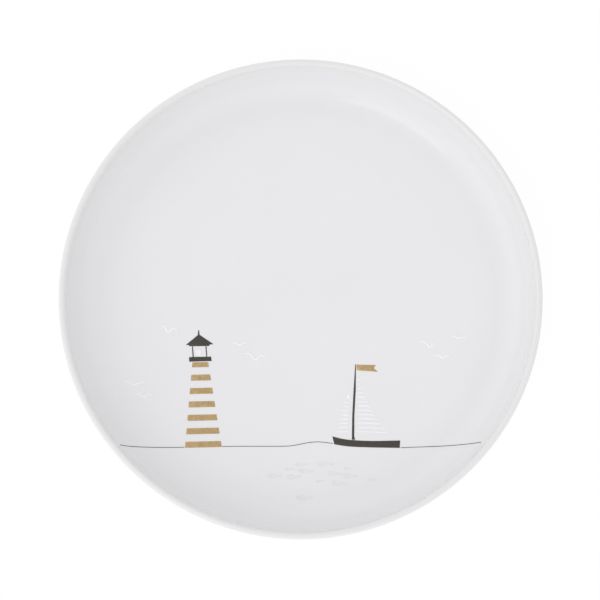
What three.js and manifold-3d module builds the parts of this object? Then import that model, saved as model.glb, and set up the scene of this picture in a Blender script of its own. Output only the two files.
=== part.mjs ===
// Souvenir plate: a white glazed coupe plate with a seaside picture on it.
// The picture is laid on the glaze as separate fired-on pieces, each a thin solid of its own.
// Millimetres, Z up, foot ring standing on z = 0, picture the right way up seen from -Y.

import * as THREE from 'three';
import { mergeVertices } from 'three/addons/utils/BufferGeometryUtils.js';
import Module from 'manifold-3d';

const wasm = await Module();
wasm.setup();

// ---- plate sizes ----
const plateRadius = 105;
const lipThickness = 3;
const wallRadius = 16; // inside of the curve from the well up to the lip
const wallSweep = 86; // degrees that the curve turns through
const floorThickness = 4;
const footHeight = 2.5;
const footWidth = 4;
const footEdge = 0.8; // rounding of the foot ring's rim
const footBlend = 1.4; // slope where the foot ring meets the underside

// ---- picture sizes ----
const printThickness = 0.12; // black, gold and grey prints
const reliefThickness = 0.35; // raised white glaze
const seatGap = 0.02; // under a piece where it climbs the curved wall
const flatMargin = 4; // a piece that stays this far in from the wall is a plain flat slab
const lineWidth = 0.25; // the horizon
const stripeWidth = 0.8; // one white stripe of a sail
const pictureDrop = 1.6; // how much lower than drawn the picture is laid, in drawing units

// ---- derived sizes ----
const unit = plateRadius / 100; // the picture is drawn in hundredths of the plate's radius
const floorZ = footHeight + floorThickness;
const wallMiddle = wallRadius + lipThickness / 2;
const sweep = THREE.MathUtils.degToRad(wallSweep);
const floorRadius = plateRadius - lipThickness / 2 - wallMiddle * Math.sin(sweep);
const wallCentreZ = floorZ + wallRadius;
const footRadius = 0.59 * plateRadius;

// ---- how finely curves are cut ----
const turns = 96;
const wallSteps = 12;
const lipSteps = 6;

const materials = {
  glaze: new THREE.MeshStandardMaterial({ color: 0xeeedf0, roughness: 0.15, metalness: 0 }),
  black: new THREE.MeshStandardMaterial({ color: 0x24211e, roughness: 0.35, metalness: 0 }),
  gold: new THREE.MeshStandardMaterial({ color: 0xb08c4c, roughness: 0.35, metalness: 0.6 }),
  relief: new THREE.MeshStandardMaterial({ color: 0xf8f8fa, roughness: 0.2, metalness: 0 }),
  grey: new THREE.MeshStandardMaterial({ color: 0xd6d6da, roughness: 0.3, metalness: 0 }),
};

// ---- shared helpers ----

// A closed triangle mesh with shared corners, and without the empty triangles on the axis.
function welded(geometry) {
  geometry.deleteAttribute('normal');
  geometry.deleteAttribute('uv');
  const merged = mergeVertices(geometry, 1e-4);
  const corners = merged.index.array;
  const kept = [];
  for (let i = 0; i < corners.length; i += 3) {
    const [a, b, c] = corners.slice(i, i + 3);
    if (a !== b && b !== c && c !== a) kept.push(a, b, c);
  }
  merged.setIndex(kept);
  return merged;
}

// Turns a profile of [radius, height] points about Z.
function turned(profile) {
  const points = profile.map(([r, z]) => new THREE.Vector2(r, z));
  const lathe = new THREE.LatheGeometry(points, turns);
  lathe.rotateX(Math.PI / 2);
  return welded(lathe);
}

// Points on an arc. Angles are in radians from straight down, turning outwards.
function arc(centreR, centreZ, radius, from, to, steps) {
  const points = [];
  for (let i = 0; i <= steps; i++) {
    const angle = from + ((to - from) * i) / steps;
    points.push([centreR + radius * Math.sin(angle), centreZ - radius * Math.cos(angle)]);
  }
  return points;
}

// The wall's inner surface from the well to the lip, moved in by `lift`.
function wallLine(lift) {
  return arc(floorRadius, wallCentreZ, wallRadius - lift, 0, sweep, wallSteps);
}

function toManifold(geometry) {
  const mesh = new wasm.Mesh({
    numProp: 3,
    vertProperties: new Float32Array(geometry.attributes.position.array),
    triVerts: new Uint32Array(geometry.index.array),
  });
  return new wasm.Manifold(mesh);
}

function fromManifold(solid) {
  const mesh = solid.getMesh();
  const geometry = new THREE.BufferGeometry();
  geometry.setAttribute('position', new THREE.BufferAttribute(mesh.vertProperties, 3));
  geometry.setIndex([...mesh.triVerts]);
  return welded(geometry);
}

// A dish-shaped skin of the given thickness that lies on the well and the wall.
function skin(thickness) {
  const under = wallLine(seatGap);
  const over = wallLine(thickness + seatGap).reverse();
  const inner = floorRadius - flatMargin;
  return turned([
    [0, floorZ],
    [inner, floorZ],
    ...under,
    ...over,
    [inner, floorZ + thickness],
    [0, floorZ + thickness],
  ]);
}

// One piece of the picture: the outline laid on the plate. A piece that lies on the flat of
// the well is a plain slab. One that reaches the wall is cut out of the skin instead.
function laid(outline, thickness) {
  const reach = Math.max(...outline.getPoints().map((point) => point.length()));
  const flat = reach < floorRadius - flatMargin;
  const depth = flat ? thickness : 2 * wallRadius;
  const slab = new THREE.ExtrudeGeometry(outline, { depth, bevelEnabled: false, curveSegments: 3 });
  slab.translate(0, 0, flat ? floorZ : floorZ - 1);
  const solid = welded(slab);
  if (flat) return solid;
  return fromManifold(toManifold(solid).intersect(toManifold(skin(thickness))));
}

// Picture coordinates to millimetres on the plate.
function spot([x, y]) {
  return new THREE.Vector2(x * unit, (y - pictureDrop) * unit);
}

function polygon(corners) {
  return new THREE.Shape(corners.map(spot));
}

// A polygon with its corners softened.
function softened(corners, softness) {
  const shape = new THREE.Shape();
  const points = corners.map(spot);
  points.forEach((corner, i) => {
    const before = points.at(i - 1);
    const after = points[(i + 1) % points.length];
    const start = corner.clone().lerp(before, (softness * unit) / corner.distanceTo(before));
    const end = corner.clone().lerp(after, (softness * unit) / corner.distanceTo(after));
    if (i === 0) shape.moveTo(start.x, start.y);
    else shape.lineTo(start.x, start.y);
    shape.quadraticCurveTo(corner.x, corner.y, end.x, end.y);
  });
  return shape;
}

// A brush stroke: a smooth line with round ends, `middle` wide half way along and `ends`
// wide at its two ends, both in millimetres.
function stroke(points, middle, ends, steps) {
  const line = new THREE.SplineCurve(points.map(spot));
  const edge = [];
  const offset = (t, turn, half) => {
    const tangent = line.getTangent(t);
    const side = new THREE.Vector2(-tangent.y, tangent.x).rotateAround(new THREE.Vector2(), turn);
    edge.push(line.getPoint(t).addScaledVector(side, half));
  };
  const half = (t) => (ends + (middle - ends) * Math.sin(Math.PI * t)) / 2;
  for (let i = 0; i <= steps; i++) offset(i / steps, 0, half(i / steps));
  for (const turn of [0.25, 0.5, 0.75]) offset(1, -turn * Math.PI, half(1));
  for (let i = steps; i >= 0; i--) offset(i / steps, Math.PI, half(i / steps));
  for (const turn of [0.25, 0.5, 0.75]) offset(0, (1 - turn) * Math.PI, half(0));
  return new THREE.Shape(edge);
}

// ---- the plate ----

// The foot ring's section, from its inner side to its outer side.
function footLine() {
  const quarter = Math.PI / 2;
  const inner = footRadius - footWidth / 2;
  const outer = footRadius + footWidth / 2;
  return [
    [inner - footBlend, footHeight],
    [inner, footHeight - footBlend],
    ...arc(inner + footEdge, footEdge, footEdge, -quarter, 0, 3),
    ...arc(outer - footEdge, footEdge, footEdge, 0, quarter, 3),
    [outer, footHeight - footBlend],
    [outer + footBlend, footHeight],
  ];
}

function plateBody() {
  const lipR = floorRadius + wallMiddle * Math.sin(sweep);
  const lipZ = wallCentreZ - wallMiddle * Math.cos(sweep);
  const outside = arc(floorRadius, wallCentreZ, wallRadius + lipThickness, 0, sweep, wallSteps);
  const lip = arc(lipR, lipZ, lipThickness / 2, sweep, sweep + Math.PI, lipSteps);
  return turned([
    [0, footHeight],
    ...footLine(),
    ...outside,
    ...lip.slice(1, -1),
    ...wallLine(0).reverse(),
    [0, floorZ],
  ]);
}

// ---- the lighthouse ----
const bandCount = 7;
const bandMiddle = -25.15; // middle of the highest band
const bandPitch = 5.58;
const bandHeight = 2.5;
const bandHidden = 0.4; // top of the highest band, lost behind the lantern
const bandRise = 0.022; // how much a band climbs to the right, for each unit of its length

const towerCentre = (y) => -41.85 - (y - bandMiddle) * 0.042;
const towerHalfWidth = (y) => 3.4 - (y - bandMiddle) * 0.122;
// Where a line that runs up to the tower from one side stops, just short of its edge.
const besideTower = (side, y) => [towerCentre(y) + side * (towerHalfWidth(y) + 0.3), y];

function lighthouseRoof() {
  return polygon([
    [-43.0, -12.9],
    [-42.8, -10.8],
    [-42.5, -10.8],
    [-42.2, -12.8],
    [-36.4, -16.7],
    [-38.0, -16.9],
    [-38.3, -17.5],
    [-46.4, -17.6],
    [-46.8, -17.1],
    [-47.9, -17.0],
  ]);
}

function lighthouseLantern() {
  return polygon([
    [-46.6, -22.2],
    [-45.1, -22.1],
    [-45.4, -17.7],
    [-45.0, -17.7],
    [-44.6, -22.1],
    [-39.4, -22.0],
    [-39.8, -17.65],
    [-39.3, -17.65],
    [-39.0, -22.0],
    [-37.4, -21.9],
    [-37.1, -23.8],
    [-46.5, -24.1],
  ]);
}

function lighthouseLamp() {
  return softened([[-43.8, -19], [-41.4, -19], [-41.6, -21.7], [-43.7, -21.7]], 0.5);
}

function lighthouseBand(index) {
  const middle = bandMiddle - index * bandPitch;
  const top = middle + bandHeight / 2 - (index === 0 ? bandHidden : 0);
  const bottom = middle - bandHeight / 2;
  const corner = (side, y) => {
    const x = towerCentre(y) + side * towerHalfWidth(y);
    return [x, y + side * towerHalfWidth(y) * bandRise];
  };
  return softened([corner(-1, top), corner(1, top), corner(1, bottom), corner(-1, bottom)], 0.25);
}

// ---- the boat ----
const mainStripes = 13;
const jibStripes = 8;

function boatHull() {
  const sheer = [[13.2, -55.3], [18.3, -56.5], [24, -57], [31, -57.2], [41.4, -57]];
  const keel = [[41.2, -60.1], [29, -59.9], [20, -59.5], [14, -58.6]];
  const smooth = (points) => new THREE.SplineCurve(points.map(spot)).getPoints(10);
  return new THREE.Shape([...smooth(sheer), ...smooth(keel)]);
}

function boatMast() {
  return polygon([
    [21.3, -56.7],
    [21.5, -46.5],
    [22.1, -35.7],
    [22.8, -25.2],
    [23.1, -25.2],
    [23.0, -35.7],
    [22.4, -46.5],
    [22.3, -55.2],
    [22.7, -56.7],
  ]);
}

function boatPennant() {
  return polygon([[23.3, -25.3], [31.4, -25.5], [30.6, -26.8], [32.2, -28.3], [23.4, -27.7]]);
}

// White stripes to the right of the mast, longer towards the foot of the sail.
function mainStripe(index) {
  const down = index / (mainStripes - 1);
  const y = -31.6 - 21.7 * down;
  const left = 23.6 - 0.6 * down;
  const right = 24.6 + 12.1 * down ** 1.35;
  const length = right - left;
  return stroke([[left, y], [left + 0.5 * length, y - 0.01 * length], [right, y - 0.04 * length]],
    stripeWidth, 0.6 * stripeWidth, 6);
}

// White stripes to the left of the mast.
function jibStripe(index) {
  const down = index / (jibStripes - 1);
  const y = -41 - 12.2 * down;
  const left = 18.2 - 2.9 * down;
  const right = 20.4 - 0.6 * down;
  return stroke([[left, y], [0.5 * (left + right), y - 0.1], [right, y - 0.1]],
    stripeWidth, 0.6 * stripeWidth, 6);
}

function jibPeak() {
  return softened([[20.3, -35.9], [20.7, -39.6], [19.1, -39.5]], 0.3);
}

// ---- the sea, the gulls and the fish ----
const horizonLines = {
  horizon_left: [[-74.2, -59.5], [-70.4, -59.8], [-62, -59.9], [-53, -59.9], besideTower(-1, -59.8)],
  horizon_middle: [besideTower(1, -59.5), [-23, -59.4], [-7, -59.4], [-2, -58.9], [2, -58.1],
    [5, -57.7], [8, -57.6], [13.3, -58.2]],
  horizon_right: [[41.7, -60], [50, -59.7], [60, -59.3], [68, -58.8], [74.3, -58.3]],
};

// Each gull: where its body is, the reach of its left and right wings, how deep the wings
// dip to the body, and its lean in degrees.
const gulls = [
  [-55.4, -11.7, 4.1, 4.1, 2.3, -9],
  [-25.4, -17.2, 3.5, 3.2, 1.2, 2],
  [-19, -23.3, 5.3, 5, 2.3, -7],
  [-69.6, -33.9, 4.6, 5.4, 1.3, -3],
  [-65.3, -39, 3.7, 3.7, 1.5, 4],
  [54, -18, 4.9, 2.2, 1.9, -9],
  [59.5, -22.6, 3.7, 3.2, 1.2, -2],
  [66.1, -14.3, 3.5, 3.5, 0.8, -4],
];

// Each fish: its nose, its length, and its lean in degrees.
const fishes = [
  [-13.9, -71.6, 6.4, 0],
  [-6.6, -69, 4.5, 2],
  [-2.4, -66.9, 5, 0],
  [-0.9, -69.4, 6.2, -6],
  [-6, -72.2, 6.2, 2],
  [7, -66.7, 6.4, -2],
  [11.1, -70.5, 6, -4],
  [17.8, -68.5, 3.6, -3],
  [17.2, -71.5, 6.6, -3],
  [12.8, -74.2, 6.6, -8],
  [6.2, -74, 3.6, 5],
  [27.3, -73, 4.2, -4],
  [-2, -80.7, 7.2, 2],
];

// Turns and moves a drawing made about the origin.
function placed(points, x, y, lean) {
  const turn = THREE.MathUtils.degToRad(lean);
  const origin = new THREE.Vector2();
  return points.map(([px, py]) => {
    const point = new THREE.Vector2(px, py).rotateAround(origin, turn);
    return [point.x + x, point.y + y];
  });
}

function gull([x, y, left, right, dip, lean]) {
  const wings = [
    [-left, 0.8 * dip],
    [-0.5 * left, dip],
    [0, 0],
    [0.5 * right, 0.95 * dip],
    [right, 0.4 * dip],
  ];
  return stroke(placed(wings, x, y, lean), 0.9, 0.35, 20);
}

function fish([x, y, length, lean]) {
  const body = [
    [0, 0.02],
    [0.06, 0.09],
    [0.2, 0.15],
    [0.4, 0.15],
    [0.58, 0.1],
    [0.73, 0.04],
    [0.82, 0.045],
    [1, 0.13],
    [0.94, 0],
    [1, -0.13],
    [0.82, -0.045],
    [0.73, -0.04],
    [0.58, -0.11],
    [0.4, -0.16],
    [0.2, -0.16],
    [0.06, -0.1],
    [0, -0.03],
  ];
  return polygon(placed(body.map(([px, py]) => [px * length, py * length]), x, y, lean));
}

// ---- assembly ----
const plate = new THREE.Group();
plate.name = 'souvenir_plate';

function add(name, geometry, material) {
  const mesh = new THREE.Mesh(geometry, material);
  mesh.name = name;
  plate.add(mesh);
}

add('plate_body', plateBody(), materials.glaze);

for (const [name, points] of Object.entries(horizonLines)) {
  add(name, laid(stroke(points, lineWidth, lineWidth, 24), printThickness), materials.black);
}

add('lighthouse_roof', laid(lighthouseRoof(), printThickness), materials.black);
add('lighthouse_lantern', laid(lighthouseLantern(), printThickness), materials.black);
add('lighthouse_lamp', laid(lighthouseLamp(), reliefThickness), materials.relief);
for (let i = 0; i < bandCount; i++) {
  add(`lighthouse_band_${i + 1}`, laid(lighthouseBand(i), printThickness), materials.gold);
}

add('boat_hull', laid(boatHull(), printThickness), materials.black);
add('boat_mast', laid(boatMast(), printThickness), materials.black);
add('boat_pennant', laid(boatPennant(), printThickness), materials.gold);
for (let i = 0; i < mainStripes; i++) {
  add(`mainsail_stripe_${i + 1}`, laid(mainStripe(i), reliefThickness), materials.relief);
}
add('jib_peak', laid(jibPeak(), reliefThickness), materials.relief);
for (let i = 0; i < jibStripes; i++) {
  add(`jib_stripe_${i + 1}`, laid(jibStripe(i), reliefThickness), materials.relief);
}

gulls.forEach((row, i) => add(`gull_${i + 1}`, laid(gull(row), reliefThickness), materials.relief));
fishes.forEach((row, i) => add(`fish_${i + 1}`, laid(fish(row), printThickness), materials.grey));

export default plate;
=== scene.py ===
# A white porcelain plate with a seaside picture fired onto its well.
import math

import bmesh
import bpy
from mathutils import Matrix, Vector
from mathutils.bvhtree import BVHTree


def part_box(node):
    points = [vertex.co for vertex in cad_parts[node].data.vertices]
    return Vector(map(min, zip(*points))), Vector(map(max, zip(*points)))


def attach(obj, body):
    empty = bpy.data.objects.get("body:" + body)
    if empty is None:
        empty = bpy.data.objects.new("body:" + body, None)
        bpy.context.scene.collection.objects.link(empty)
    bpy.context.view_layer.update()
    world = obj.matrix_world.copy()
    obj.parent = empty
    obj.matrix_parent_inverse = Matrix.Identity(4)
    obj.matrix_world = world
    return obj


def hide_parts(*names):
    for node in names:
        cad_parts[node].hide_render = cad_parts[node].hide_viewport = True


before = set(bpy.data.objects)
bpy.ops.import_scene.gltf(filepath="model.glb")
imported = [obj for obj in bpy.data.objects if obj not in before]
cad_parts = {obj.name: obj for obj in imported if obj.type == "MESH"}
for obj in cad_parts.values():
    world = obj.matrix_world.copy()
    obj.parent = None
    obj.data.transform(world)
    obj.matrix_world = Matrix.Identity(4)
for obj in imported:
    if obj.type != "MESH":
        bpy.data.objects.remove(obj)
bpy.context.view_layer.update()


# ---- The clay body ----
# One piece of porcelain, pressed over a plaster mould: a flat well, a wall that curves up to
# a rounded lip, and a foot ring below. It is dipped in clear glaze, its foot ring's rim is
# wiped bare, and it is fired standing on that rim.

MM = 0.001

plate_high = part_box("plate_body")[1]
plate_radius = plate_high.x / MM
lip_thickness = 3.0
wall_radius = 16.0  # inside of the curve from the well up to the lip
wall_turn = 86.0  # degrees that the curve turns through
floor_thickness = 4.0
foot_height = 2.5
foot_radius = 0.59 * plate_radius  # to the middle of the foot ring's width
foot_width = 4.0
foot_fillet = 1.4  # where the foot ring's sides run into the underside
foot_rounding = 0.7  # of the bare rim
glaze_step = 0.12  # the thickness of the glaze, where it stops above the bare rim
glaze_stop = 0.95  # height of that stop above the table
flat_rings = (20, 40, 60, 80)  # radii of the edge loops that divide the flat parts
wall_steps, lip_steps, foot_steps = 36, 18, 6  # straight cuts in each curve of the section
turn_steps = 240  # and in a full turn
sharp_angle = 50  # degrees, past which an edge isn't shaded smooth

well_height = foot_height + floor_thickness
wall_middle = wall_radius + lip_thickness / 2
well_radius = plate_radius - lip_thickness / 2 - wall_middle * math.sin(math.radians(wall_turn))
wall_centre = (well_radius, well_height + wall_radius)


def straight(bm, start, radius, height):
    """Draws a straight line of the section from start, and returns its end."""
    end = bmesh.ops.extrude_vert_indiv(bm, verts=[start])["verts"][0]
    end.co = (radius, 0, height)
    return end


def curve(bm, start, centre, degrees, steps):
    """Draws an arc of the section from start, and returns its end. From straight down,
    negative degrees turn outwards."""
    made = bmesh.ops.spin(bm, geom=[start], cent=(centre[0], 0, centre[1]), axis=(0, 1, 0),
                          angle=math.radians(degrees), steps=steps)
    return next(e for e in made["geom_last"] if isinstance(e, bmesh.types.BMVert))


def turn_plate():
    """Draws half the plate's section, from the middle of the underside to the middle of the
    well, and turns it about the plate's axis."""
    bm = bmesh.new()
    inner = foot_radius - foot_width / 2
    outer = foot_radius + foot_width / 2
    at = bm.verts.new((0, 0, foot_height))
    for radius in (*flat_rings[:2], inner - foot_fillet):
        at = straight(bm, at, radius, foot_height)
    at = curve(bm, at, (inner - foot_fillet, foot_height - foot_fillet), 90, foot_steps)
    at = straight(bm, at, inner, glaze_stop)
    at = straight(bm, at, inner + glaze_step, glaze_stop - glaze_step)
    at = straight(bm, at, inner + glaze_step, foot_rounding)
    at = curve(bm, at, (inner + glaze_step + foot_rounding, foot_rounding), -90, foot_steps)
    at = straight(bm, at, outer - glaze_step - foot_rounding, 0)
    at = curve(bm, at, (outer - glaze_step - foot_rounding, foot_rounding), -90, foot_steps)
    at = straight(bm, at, outer - glaze_step, glaze_stop - glaze_step)
    at = straight(bm, at, outer, glaze_stop)
    at = straight(bm, at, outer, foot_height - foot_fillet)
    at = curve(bm, at, (outer + foot_fillet, foot_height - foot_fillet), 90, foot_steps)
    at = straight(bm, at, well_radius, wall_centre[1] - wall_radius - lip_thickness)
    at = curve(bm, at, wall_centre, -wall_turn, wall_steps)
    lean = math.radians(wall_turn)
    lip_centre = (well_radius + wall_middle * math.sin(lean),
                  wall_centre[1] - wall_middle * math.cos(lean))
    at = curve(bm, at, lip_centre, -180, lip_steps)
    at = curve(bm, at, wall_centre, wall_turn, wall_steps)
    for radius in (*reversed(flat_rings), 0):
        at = straight(bm, at, radius, well_height)
    bmesh.ops.spin(bm, geom=bm.verts[:] + bm.edges[:], cent=(0, 0, 0), axis=(0, 0, 1),
                   angle=math.tau, steps=turn_steps, use_merge=True)
    bmesh.ops.remove_doubles(bm, verts=bm.verts, dist=1e-3)
    bmesh.ops.recalc_face_normals(bm, faces=bm.faces)
    return bm


def add_piece(bm, name, materials, nodes):
    """Makes a piece of a bmesh drawn in millimetres, in place of the named CAD nodes."""
    bmesh.ops.scale(bm, vec=(MM, MM, MM), verts=bm.verts)
    mesh = bpy.data.meshes.new(name)
    bm.to_mesh(mesh)
    bm.free()
    for material in materials:
        mesh.materials.append(material)
    mesh.shade_smooth()
    mesh.set_sharp_from_angle(angle=math.radians(sharp_angle))
    piece = bpy.data.objects.new(name, mesh)
    bpy.context.scene.collection.objects.link(piece)
    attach(piece, "root")
    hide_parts(*nodes)


def colour(hex_code):
    """An sRGB hex colour as the linear colour that a shader takes."""
    channels = [int(hex_code[i:i + 2], 16) / 255 for i in (0, 2, 4)]
    return [c / 12.92 if c <= 0.04045 else ((c + 0.055) / 1.055) ** 2.4 for c in channels] + [1]


def add_node(material, kind, inputs=None, **settings):
    """Adds a node with its settings, and its inputs: a value is set and a socket is linked."""
    tree = material.node_tree
    node = tree.nodes.new(kind)
    for name, value in settings.items():
        setattr(node, name, value)
    for name, value in (inputs or {}).items():
        if isinstance(value, bpy.types.NodeSocket):
            tree.links.new(value, node.inputs[name])
        else:
            node.inputs[name].default_value = value
    return node


def new_material(name):
    """An empty material and a socket that gives a point's place on the plate, in metres."""
    material = bpy.data.materials.new(name)
    material.use_nodes = True
    material.node_tree.nodes.clear()
    place = add_node(material, "ShaderNodeTexCoord").outputs["Object"]
    return material, place


def grain(size):
    """The Noise Texture scale whose blotches are about this many millimetres across."""
    return 1 / (size * MM)


lip_band = 1.6  # how far down from the top the lip is painted greyer, as painted shade


# Porcelain under clear feldspar glaze, dipped: cool white where it pools in the well, less so
# up the wall, glossy, with a skin that ripples slightly. The lip is painted a little greyer, as
# painted shade.
def clear_glaze():
    material, place = new_material("clear_glaze_on_porcelain")
    drift = add_node(material, "ShaderNodeTexNoise",
                     {"Vector": place, "Scale": grain(45), "Detail": 2.0})
    body = add_node(material, "ShaderNodeMix", {
        "Factor": drift.outputs["Fac"], 6: colour("EDECF0"), 7: colour("F0EFF1")},
        data_type="RGBA")
    height = add_node(material, "ShaderNodeSeparateXYZ", {"Vector": place})
    drained = add_node(material, "ShaderNodeMapRange", {
        "Value": height.outputs["Z"], "From Min": well_height * MM,
        "From Max": plate_high.z}, interpolation_type="SMOOTHSTEP")
    up_wall = add_node(material, "ShaderNodeMix", {
        "Factor": drained.outputs["Result"], 6: body.outputs[2], 7: colour("F1F0F0")},
        data_type="RGBA")
    # Painted shade: the lip's colour is made greyer towards the top.
    lip_shade = add_node(material, "ShaderNodeMapRange", {
        "Value": height.outputs["Z"], "From Min": plate_high.z - lip_band * MM,
        "From Max": plate_high.z}, interpolation_type="SMOOTHSTEP")
    over_lip = add_node(material, "ShaderNodeMix", {
        "Factor": lip_shade.outputs["Result"], 6: up_wall.outputs[2], 7: colour("ECEBEC")},
        data_type="RGBA")
    fume = add_node(material, "ShaderNodeTexNoise",
                    {"Vector": place, "Scale": grain(18), "Detail": 3.0})
    gloss = add_node(material, "ShaderNodeMapRange", {
        "Value": fume.outputs["Fac"], "To Min": 0.10, "To Max": 0.17})
    ripple = add_node(material, "ShaderNodeTexNoise",
                      {"Vector": place, "Scale": grain(3.5), "Detail": 1.0})
    pits = add_node(material, "ShaderNodeTexVoronoi", {"Vector": place, "Scale": grain(5)})
    pinhole = add_node(material, "ShaderNodeMapRange", {
        "Value": pits.outputs["Distance"], "From Min": 0.0, "From Max": 0.03})
    skin = add_node(material, "ShaderNodeBump", {
        "Height": ripple.outputs["Fac"], "Strength": 0.25, "Distance": 0.02 * MM})
    pitted = add_node(material, "ShaderNodeBump", {
        "Height": pinhole.outputs["Result"], "Normal": skin.outputs["Normal"],
        "Strength": 0.3, "Distance": 0.03 * MM})
    shader = add_node(material, "ShaderNodeBsdfPrincipled", {
        "Base Color": over_lip.outputs[2], "Roughness": gloss.outputs["Result"],
        "Normal": pitted.outputs["Normal"], "IOR": 1.5})
    add_node(material, "ShaderNodeOutputMaterial", {"Surface": shader.outputs[0]})
    return material


# Bare fired porcelain, wiped with a wet sponge: matt, a little warmer, finely gritty, and
# greyed here and there where it has slid on a shelf.
def bare_porcelain():
    material, place = new_material("bare_porcelain")
    scuff = add_node(material, "ShaderNodeTexNoise",
                     {"Vector": place, "Scale": grain(6), "Detail": 6.0, "Roughness": 0.7})
    worn = add_node(material, "ShaderNodeMapRange", {
        "Value": scuff.outputs["Fac"], "From Min": 0.5, "From Max": 0.75})
    clay = add_node(material, "ShaderNodeMix", {
        "Factor": worn.outputs["Result"], 6: colour("EAE5DC"), 7: colour("C9C3BA")},
        data_type="RGBA")
    grit = add_node(material, "ShaderNodeTexNoise",
                    {"Vector": place, "Scale": grain(0.25), "Detail": 2.0})
    tooth = add_node(material, "ShaderNodeBump", {
        "Height": grit.outputs["Fac"], "Strength": 0.5, "Distance": 0.03 * MM})
    shader = add_node(material, "ShaderNodeBsdfPrincipled", {
        "Base Color": clay.outputs[2], "Roughness": 0.8, "Normal": tooth.outputs["Normal"]})
    add_node(material, "ShaderNodeOutputMaterial", {"Surface": shader.outputs[0]})
    return material


body = turn_plate()
for face in body.faces:
    face.material_index = int(face.calc_center_median().z < glaze_stop - glaze_step / 2)
add_piece(body, "plate_body_glazed", [clear_glaze(), bare_porcelain()],
          ["plate_body"])


# ---- The sea line ----
# A thin black line for the sea, from wall to wall, broken by the tower and the hull. It is
# transfer-printed in ceramic ink on the glaze and fired in, so it stands a little proud and
# its edges are melted soft. The other black prints are made the same way.

seat_depth = 0.06  # how far every fired-on piece is let into the glaze
print_rise = 0.1  # how far a print stands above it
straight_rise = 0.4 * print_rise  # up to here a print's edge is upright
soft_edge = ((0.015, 0.25), (0.02, 0.2), (0.03, 0.15))  # then in, and up in parts of the rise
facing_up = 0.2  # the least upward lean of a face on a CAD node's upper side
weld = 0.002  # corners of a CAD node nearer than this are one
flat_within = 0.5  # degrees, under which neighbouring faces become one


def on_glaze(x, y):
    """The glaze's surface over a point of the picture, and the way it faces there."""
    out = Vector((x, y, 0))
    across = min(max(out.length - well_radius, 0), wall_radius)
    lean = math.asin(across / wall_radius)
    height = wall_centre[1] - wall_radius * math.cos(lean)
    facing = Vector((0, 0, math.cos(lean))) - math.sin(lean) * out.normalized()
    return Vector((x, y, height)), facing


def picture_outline(node):
    """The upper face of a CAD node, in millimetres, as one open sheet."""
    bm = bmesh.new()
    bm.from_mesh(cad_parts[node].data)
    bmesh.ops.scale(bm, vec=(1 / MM,) * 3, verts=bm.verts)
    bmesh.ops.remove_doubles(bm, verts=bm.verts, dist=weld)
    bm.normal_update()
    rest = [face for face in bm.faces if face.normal.z < facing_up]
    bmesh.ops.delete(bm, geom=rest, context="FACES")
    bmesh.ops.dissolve_limit(bm, angle_limit=math.radians(flat_within), verts=bm.verts,
                             edges=bm.edges)
    return bm


def raise_sheet(bm):
    """Gives the open sheet a second, upper sheet joined to it by a wall round the outline.
    Returns the upper faces and their vertices."""
    made = bmesh.ops.extrude_face_region(bm, geom=bm.faces[:])["geom"]
    top = [e for e in made if isinstance(e, bmesh.types.BMFace)]
    return top, {vert for face in top for vert in face.verts}


def print_on(node):
    """A piece of the picture screened in ink: a thin even layer with a soft edge."""
    bm = picture_outline(node)
    top, upper = raise_sheet(bm)
    for vert in bm.verts:
        seat, facing = on_glaze(vert.co.x, vert.co.y)
        vert.co = seat + facing * (straight_rise if vert in upper else -seat_depth)
    bm.normal_update()
    for width, part in soft_edge:
        bmesh.ops.inset_region(bm, faces=top, use_boundary=True, use_even_offset=False,
                               thickness=width, depth=part * print_rise)
    bmesh.ops.recalc_face_normals(bm, faces=bm.faces)
    return bm


# Black ceramic ink, screened and fired: a warm near-black, satin, with fine pinholes and
# slightly uneven ink.
def black_ink():
    material, place = new_material("black_ceramic_ink")
    lay = add_node(material, "ShaderNodeTexNoise",
                   {"Vector": place, "Scale": grain(1.2), "Detail": 4.0, "Roughness": 0.6})
    ink = add_node(material, "ShaderNodeMix", {
        "Factor": lay.outputs["Fac"], 6: colour("3A3631"), 7: colour("4C4842")},
        data_type="RGBA")
    gloss = add_node(material, "ShaderNodeMapRange", {
        "Value": lay.outputs["Fac"], "To Min": 0.28, "To Max": 0.5})
    tooth = add_node(material, "ShaderNodeTexNoise",
                     {"Vector": place, "Scale": grain(0.3), "Detail": 2.0})
    grainy = add_node(material, "ShaderNodeBump", {
        "Height": tooth.outputs["Fac"], "Strength": 0.4, "Distance": 0.02 * MM})
    shader = add_node(material, "ShaderNodeBsdfPrincipled", {
        "Base Color": ink.outputs[2], "Roughness": gloss.outputs["Result"],
        "Normal": grainy.outputs["Normal"], "IOR": 1.45})
    add_node(material, "ShaderNodeOutputMaterial", {"Surface": shader.outputs[0]})
    return material


black = black_ink()
for side in ("left", "middle", "right"):
    node = f"horizon_{side}"
    add_piece(print_on(node), f"sea_line_{side}", [black], [node])


# ---- The lighthouse ----
# A black pointed roof over a lantern of a gallery and two posts, and seven tan and gold
# bands that widen down the tower. All are ceramic prints. The light between the posts is a
# drop of raised white enamel, and the tower's white bands are the bare glaze.

for part in ("roof", "lantern"):
    node = f"lighthouse_{part}"
    add_piece(print_on(node), f"tower_{part}", [black], [node])


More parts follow.
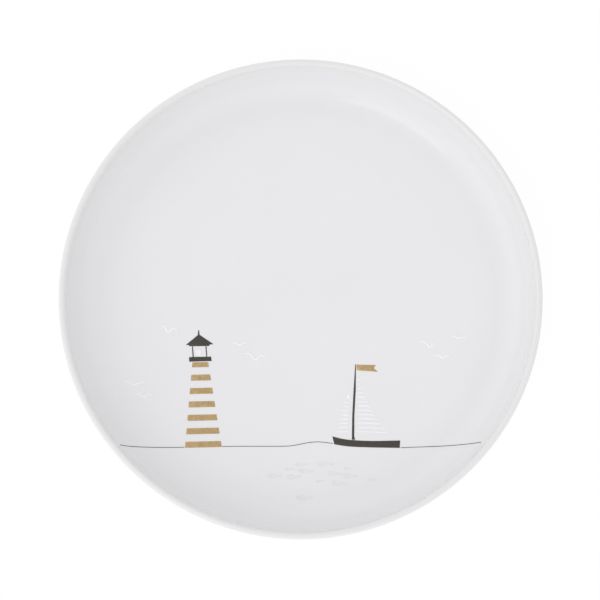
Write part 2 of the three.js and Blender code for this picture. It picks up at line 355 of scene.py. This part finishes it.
# Tan enamel with gold lustre over it, screened and fired: warm tan, part metallic, satin and
# finely mottled, where the lustre is thick and thin.
def gold_lustre():
    material, place = new_material("tan_and_gold_lustre")
    mottle = add_node(material, "ShaderNodeTexNoise",
                      {"Vector": place, "Scale": grain(1.0), "Detail": 5.0,
                       "Roughness": 0.65})
    thick = add_node(material, "ShaderNodeMapRange", {
        "Value": mottle.outputs["Fac"], "From Min": 0.3, "From Max": 0.7})
    gold = add_node(material, "ShaderNodeMix", {
        "Factor": thick.outputs["Result"], 6: colour("B19361"), 7: colour("D1B487")},
        data_type="RGBA")
    gloss = add_node(material, "ShaderNodeMapRange", {
        "Value": mottle.outputs["Fac"], "To Min": 0.45, "To Max": 0.28})
    tooth = add_node(material, "ShaderNodeBump", {
        "Height": mottle.outputs["Fac"], "Strength": 0.4, "Distance": 0.03 * MM})
    shader = add_node(material, "ShaderNodeBsdfPrincipled", {
        "Base Color": gold.outputs[2], "Metallic": 0.35,
        "Roughness": gloss.outputs["Result"], "Normal": tooth.outputs["Normal"]})
    add_node(material, "ShaderNodeOutputMaterial", {"Surface": shader.outputs[0]})
    return material


gold = gold_lustre()
for number in range(1, 8):
    node = f"lighthouse_band_{number}"
    add_piece(print_on(node), f"tower_band_{number}", [gold], [node])


# White relief enamel, trailed on and fired: thick, opaque, a purer white than the plate,
# and glossy over its rounded top.
def white_enamel():
    material, place = new_material("white_relief_enamel")
    pooled = add_node(material, "ShaderNodeTexNoise",
                      {"Vector": place, "Scale": grain(2.0), "Detail": 2.0})
    white = add_node(material, "ShaderNodeMix", {
        "Factor": pooled.outputs["Fac"], 6: colour("F6F6F9"), 7: colour("FBFBFC")},
        data_type="RGBA")
    gloss = add_node(material, "ShaderNodeMapRange", {
        "Value": pooled.outputs["Fac"], "To Min": 0.15, "To Max": 0.28})
    lumps = add_node(material, "ShaderNodeBump", {
        "Height": pooled.outputs["Fac"], "Strength": 0.3, "Distance": 0.04 * MM})
    shader = add_node(material, "ShaderNodeBsdfPrincipled", {
        "Base Color": white.outputs[2], "Roughness": gloss.outputs["Result"],
        "Normal": lumps.outputs["Normal"], "IOR": 1.5})
    add_node(material, "ShaderNodeOutputMaterial", {"Surface": shader.outputs[0]})
    return material


relief_rise = 0.3  # how far the thickest enamel stands above the glaze
relief_cell = 0.15  # the size of the cells that its top is cut into
edge_part = 0.2  # the part of its rise that its edge goes up at once
lamp_rounding = 0.6


def trail_on(node, rise, rounding, dish_width=0, dish_depth=0):
    """A piece of the picture trailed on thick: it rounds up from its outline over the width
    of rounding, and beyond that sinks to a dish where it has one."""
    bm = picture_outline(node)
    for axis in (0, 1):
        across = [vert.co[axis] for vert in bm.verts]
        cut = min(across) + relief_cell / 2
        while cut < max(across):
            point = Vector((0, 0, 0))
            point[axis] = cut
            bmesh.ops.bisect_plane(bm, geom=bm.verts[:] + bm.edges[:] + bm.faces[:],
                                   dist=1e-4, plane_co=point, plane_no=point)
            cut += relief_cell
    for vert in bm.verts:
        vert.co.z = 0
    sheet = set(bm.faces)
    top, upper = raise_sheet(bm)
    for vert in upper:
        vert.co.z = 1
    edge = [[vert.co.copy() for vert in face.verts] for face in bm.faces
            if face not in sheet and face not in set(top)]
    corners = [corner for wall in edge for corner in wall]
    outline = BVHTree.FromPolygons(corners, [range(4 * i, 4 * i + 4) for i in range(len(edge))])
    for vert in bm.verts:
        seat, facing = on_glaze(vert.co.x, vert.co.y)
        height = -seat_depth
        if vert in upper:
            inside = outline.find_nearest((vert.co.x, vert.co.y, 0.5))[3]
            swell = min(inside / rounding, 1)
            height = rise * (edge_part + (1 - edge_part) * math.sqrt(1 - (1 - swell) ** 2))
            if dish_width:
                sunk = min(max(inside - rounding, 0) / dish_width, 1)
                height -= dish_depth * sunk * sunk * (3 - 2 * sunk)
        vert.co = seat + facing * height
    bmesh.ops.recalc_face_normals(bm, faces=bm.faces)
    return bm


enamel = white_enamel()
lamp = trail_on("lighthouse_lamp", relief_rise, lamp_rounding)
add_piece(lamp, "tower_lamp", [enamel], ["lighthouse_lamp"])


# ---- The boat ----
# A black hull and a black mast with a tan and gold swallow-tailed pennant, all printed. The
# sails are stripes of trailed white enamel, which stand proud and catch the light.

for part, material, slot in (("hull", black, "black_print"), ("mast", black, "black_print"),
                             ("pennant", gold, "gold_print")):
    node = f"boat_{part}"
    add_piece(print_on(node), f"{node}_print", [material], [node])

stripe_rise, stripe_rounding = 0.7 * relief_rise, 0.2
sails = [f"mainsail_stripe_{number}" for number in range(1, 14)]
sails += ["jib_peak"] + [f"jib_stripe_{number}" for number in range(1, 9)]
for node in sails:
    stripe = trail_on(node, stripe_rise, stripe_rounding)
    add_piece(stripe, f"{node}_enamel", [enamel], [node])


# ---- The gulls ----
# Eight small gulls over the sea, each one double stroke of trailed white enamel, thick at
# the body and thin at the wing tips.

gull_rise, gull_rounding = 0.6 * relief_rise, 0.3
for number in range(1, 9):
    gull = trail_on(f"gull_{number}", gull_rise, gull_rounding)
    add_piece(gull, f"gull_{number}_enamel", [enamel], [f"gull_{number}"])


# ---- The fish ----
# A shoal of thirteen small fish under the sea line, in pale grey slip. The slip has a raised
# outline and sinks in the middle as it dries, so each fish looks pressed in.

outline_rounding = 0.12
dish_width, dish_depth = 0.5, 0.09


# Porcelain slip tinted pale grey, brushed on and fired under a thin glaze: satin, cloudy.
def grey_slip():
    material, place = new_material("pale_grey_slip")
    cloudy = add_node(material, "ShaderNodeTexNoise",
                      {"Vector": place, "Scale": grain(1.5), "Detail": 3.0})
    grey = add_node(material, "ShaderNodeMix", {
        "Factor": cloudy.outputs["Fac"], 6: colour("E5E4E7"), 7: colour("EDECEF")},
        data_type="RGBA")
    gloss = add_node(material, "ShaderNodeMapRange", {
        "Value": cloudy.outputs["Fac"], "To Min": 0.2, "To Max": 0.35})
    soft = add_node(material, "ShaderNodeBump", {
        "Height": cloudy.outputs["Fac"], "Strength": 0.3, "Distance": 0.03 * MM})
    shader = add_node(material, "ShaderNodeBsdfPrincipled", {
        "Base Color": grey.outputs[2], "Roughness": gloss.outputs["Result"],
        "Normal": soft.outputs["Normal"], "IOR": 1.5})
    add_node(material, "ShaderNodeOutputMaterial", {"Surface": shader.outputs[0]})
    return material


slip = grey_slip()
for number in range(1, 14):
    fish = trail_on(f"fish_{number}", print_rise, outline_rounding, dish_width, dish_depth)
    add_piece(fish, f"fish_{number}_slip", [slip], [f"fish_{number}"])


# ---- The table, the light and the camera ----
# The plate stands on a plain white table, lit from inside so that it takes only a faint
# shadow, in soft daylight from a window at the lower left and white walls all round. The
# camera looks down at the well from 7.5 degrees off upright.

table_reach = 4  # metres from the plate to the table's edge
table = bmesh.new()
bmesh.ops.create_grid(table, x_segments=1, y_segments=1, size=table_reach)
table_mesh = bpy.data.meshes.new("table")
table.to_mesh(table_mesh)
table.free()
paper, _ = new_material("white_paper")
paper_light = 0.865
glow = add_node(paper, "ShaderNodeEmission",
                {"Color": colour("FFFFFF"), "Strength": paper_light})
matt = add_node(paper, "ShaderNodeBsdfDiffuse", {"Color": colour("6C6C6C")})
both = add_node(paper, "ShaderNodeAddShader", {0: glow.outputs[0], 1: matt.outputs[0]})
add_node(paper, "ShaderNodeOutputMaterial", {"Surface": both.outputs[0]})
table_mesh.materials.append(paper)
table_top = bpy.data.objects.new("table", table_mesh)
bpy.context.scene.collection.objects.link(table_top)

# The room's walls are brightest half way up, and more so on the window's side.
ceiling_light = 0.745
wall_light = 0.62
window_side = (-0.235, -0.16, 0)
room = bpy.data.worlds.new("white_room")
room.use_nodes = True
room.node_tree.nodes.clear()
facing = add_node(room, "ShaderNodeTexCoord").outputs["Generated"]
climb = add_node(room, "ShaderNodeSeparateXYZ", {0: facing})
low_down = add_node(room, "ShaderNodeMath", {0: 4.0, 1: climb.outputs["Z"]},
                    operation="MULTIPLY")
half_way = add_node(room, "ShaderNodeMath", {0: 1.0, 1: climb.outputs["Z"]},
                    operation="SUBTRACT")
sideways = add_node(room, "ShaderNodeVectorMath", {0: facing, 1: window_side},
                    operation="DOT_PRODUCT")
near_walls = add_node(room, "ShaderNodeMath", {0: sideways.outputs["Value"], 1: wall_light},
                      operation="ADD")
band = add_node(room, "ShaderNodeMath", {0: low_down.outputs[0], 1: half_way.outputs[0]},
                operation="MULTIPLY")
on_walls = add_node(room, "ShaderNodeMath", {0: band.outputs[0], 1: near_walls.outputs[0]},
                    operation="MULTIPLY")
level = add_node(room, "ShaderNodeMath", {0: on_walls.outputs[0], 1: ceiling_light},
                 operation="ADD")
walls = add_node(room, "ShaderNodeBackground", {"Strength": level.outputs[0]})
add_node(room, "ShaderNodeOutputWorld", {"Surface": walls.outputs[0]})
bpy.context.scene.world = room

rim_centre = Vector((0, 0, plate_high.z))
window_distance = 6.0  # metres, as its size is
window_size = 2.2
window = bpy.data.lights.new("window", "AREA")
window.shape = "SQUARE"
window.size = window_size
window_light = 0.95
window.energy = window_light * math.pi * window_size ** 2
window_object = bpy.data.objects.new("window", window)
window_bearing, window_height = math.radians(235), math.radians(55)
towards = Vector((math.cos(window_bearing) * math.cos(window_height),
                  math.sin(window_bearing) * math.cos(window_height),
                  math.sin(window_height)))
window_object.location = rim_centre + towards * window_distance
window_object.rotation_mode = "QUATERNION"
window_object.rotation_quaternion = towards.to_track_quat("Z", "Y")
bpy.context.scene.collection.objects.link(window_object)

camera_distance = 1.0
camera_lean = math.radians(82.45)  # above the table
aim_left, aim_down = 0.26, 1.824  # how far from the rim's centre the camera aims
camera = bpy.data.cameras.new("camera")
camera.sensor_width = 36
camera.lens = 138.57
camera_object = bpy.data.objects.new("camera", camera)
bpy.context.scene.collection.objects.link(camera_object)
back = Vector((0, -math.cos(camera_lean), math.sin(camera_lean)))
up = Vector((0, math.sin(camera_lean), math.cos(camera_lean)))
aim = rim_centre - Vector((aim_left * MM, 0, 0)) - up * aim_down * MM
camera_object.location = aim + back * camera_distance
camera_object.rotation_mode = "QUATERNION"
camera_object.rotation_quaternion = (-back).to_track_quat("-Z", "Y")
camera.clip_start, camera.clip_end = 0.05, 50
bpy.context.scene.camera = camera_object
bpy.context.scene.view_settings.view_transform = "Standard"
